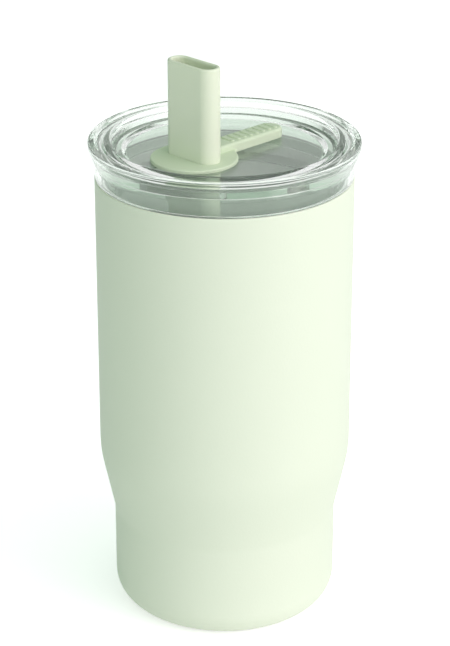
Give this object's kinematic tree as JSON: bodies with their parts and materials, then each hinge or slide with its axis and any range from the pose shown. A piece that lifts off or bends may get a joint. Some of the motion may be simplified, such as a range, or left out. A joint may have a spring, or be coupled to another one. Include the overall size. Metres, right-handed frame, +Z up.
{
  "type": "insulated travel mug",
  "caption": "Double-walled steel travel mug with a stepped cup-holder foot, a clear push-in lid, a soft stopper with a pull tab, and a flat oval straw.",
  "frame": {"origin": "centre of the mug's standing ring, on the surface it stands on", "axes": "+Z up along the mug's axis, +Y the way the pull tab points from the straw, +X to the right when seen from the straw's side"},
  "size_m": [0.088, 0.088, 0.1925],
  "materials": {
    "powder_coat": "fine satin powder coat, pale sage green",
    "steel": "plain rolled stainless sheet",
    "cup_steel": "stainless, turned satin finish",
    "base_steel": "stainless, circular brushing",
    "seal_glass": "fused sealing glass",
    "copper_foil": "bright rolled copper foil",
    "getter": "pressed grey powder pellet",
    "clear_plastic": "clear polished copolyester",
    "clear_silicone": "translucent silicone",
    "green_silicone": "matte silicone, pale sage green",
    "green_plastic": "fine satin moulded plastic, pale sage green"
  },
  "bodies": {
    "mug": {"outer_shell": "powder_coat", "vacuum_base": "steel", "seal_bead": "seal_glass", "base_cover": "base_steel", "inner_cup": "cup_steel", "heat_foil": "copper_foil", "getter_pellet": "getter", "getter_clip": "steel"},
    "lid": {"lid_shell": "clear_plastic", "lid_gasket": "clear_silicone"},
    "stopper": {"stopper": "green_silicone"},
    "straw": {"straw": "green_plastic"}
  },
  "joints": [
    {"name": "lid_lift", "type": "slide", "parent": "mug", "child": "lid", "axis": [0, 0, 1], "range_m": [0, 0.16]},
    {"name": "stopper_pull", "type": "slide", "parent": "lid", "child": "stopper", "axis": [0, 0, 1], "range_m": [0, 0.16]},
    {"name": "straw_slide", "type": "slide", "parent": "stopper", "child": "straw", "axis": [0, 0, 1], "range_m": [0, 0.16]}
  ]
}
